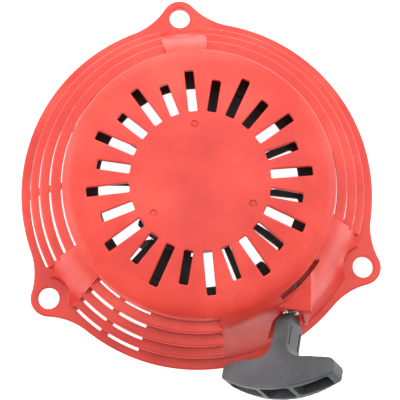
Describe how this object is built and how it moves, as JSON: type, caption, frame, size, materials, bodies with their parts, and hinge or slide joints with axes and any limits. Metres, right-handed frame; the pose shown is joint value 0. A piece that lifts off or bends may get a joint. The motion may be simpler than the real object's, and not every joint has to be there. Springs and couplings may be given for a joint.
{
  "type": "recoil starter",
  "caption": "Pull-rope recoil starter for a small vertical-shaft engine: vented round plastic cover with eared flange, rope reel, pawls and T-handle.",
  "frame": {"origin": "on the crank axis, in the mounting plane under the flange", "axes": "+Z along the crank axis, out of the top of the cover; +Y through the ear opposite the handle side"},
  "size_m": [0.202, 0.2346, 0.0644],
  "materials": {
    "housing_plastic": "semi-gloss moulded red plastic",
    "reel_plastic": "matt black moulded nylon",
    "pawl_plastic": "matt dark grey acetal",
    "grip_plastic": "matt grey-black moulded plastic",
    "rope": "braided off-white starter rope",
    "spring_steel": "blued spring steel, oiled",
    "zinc_steel": "zinc-plated steel",
    "bronze": "sintered bronze"
  },
  "bodies": {
    "housing": {"housing": "housing_plastic", "mainspring": "spring_steel", "spring_cover": "zinc_steel", "centre_bushing": "bronze", "rope_eyelet": "zinc_steel", "thrust_washer": "zinc_steel", "centre_screw": "zinc_steel"},
    "reel": {"reel": "reel_plastic", "reel_rim": "reel_plastic", "rope_wound": "rope", "rope_reel_knot": "rope", "pawl_pin_a": "zinc_steel", "pawl_pin_b": "zinc_steel", "pawl_spring_a": "spring_steel", "pawl_spring_b": "spring_steel", "brake_spring": "spring_steel"},
    "ratchet_guide": {"ratchet_guide": "pawl_plastic"},
    "pawl_a": {"pawl_a": "pawl_plastic"},
    "pawl_b": {"pawl_b": "pawl_plastic"},
    "handle": {"grip": "grip_plastic", "rope_lead": "rope", "rope_retainer": "zinc_steel", "rope_grip_knot": "rope"}
  },
  "joints": [
    {"name": "handle_pull", "type": "slide", "parent": "housing", "child": "handle", "axis": [-0.3005, -0.9248, 0.2334], "range_m": [0, 1.25], "deforming": ["rope_lead"]},
    {"name": "reel_spin", "type": "hinge", "parent": "housing", "child": "reel", "pos_m": [0, 0, 0.0165], "axis": [0, 0, 1], "range_deg": [-1118, 0], "deforming": ["mainspring"]},
    {"name": "guide_turn", "type": "hinge", "parent": "reel", "child": "ratchet_guide", "pos_m": [0, 0, 0.0145], "axis": [0, 0, 1], "range_deg": [0, 30]},
    {"name": "pawl_a_swing", "type": "hinge", "parent": "reel", "child": "pawl_a", "pos_m": [0.013, 0.03571, 0.0188], "axis": [0, 0, 1], "range_deg": [0, 20.5], "deforming": ["pawl_spring_a"]},
    {"name": "pawl_b_swing", "type": "hinge", "parent": "reel", "child": "pawl_b", "pos_m": [-0.013, -0.03571, 0.0188], "axis": [0, 0, 1], "range_deg": [0, 20.5], "deforming": ["pawl_spring_b"]}
  ],
  "couplings": [
    {"joint": "reel_spin", "follows": "handle_pull", "rad_per_m": -15.528},
    {"joint": "pawl_a_swing", "follows": "guide_turn", "ratio": 0.6667},
    {"joint": "pawl_b_swing", "follows": "guide_turn", "ratio": 0.6667}
  ]
}
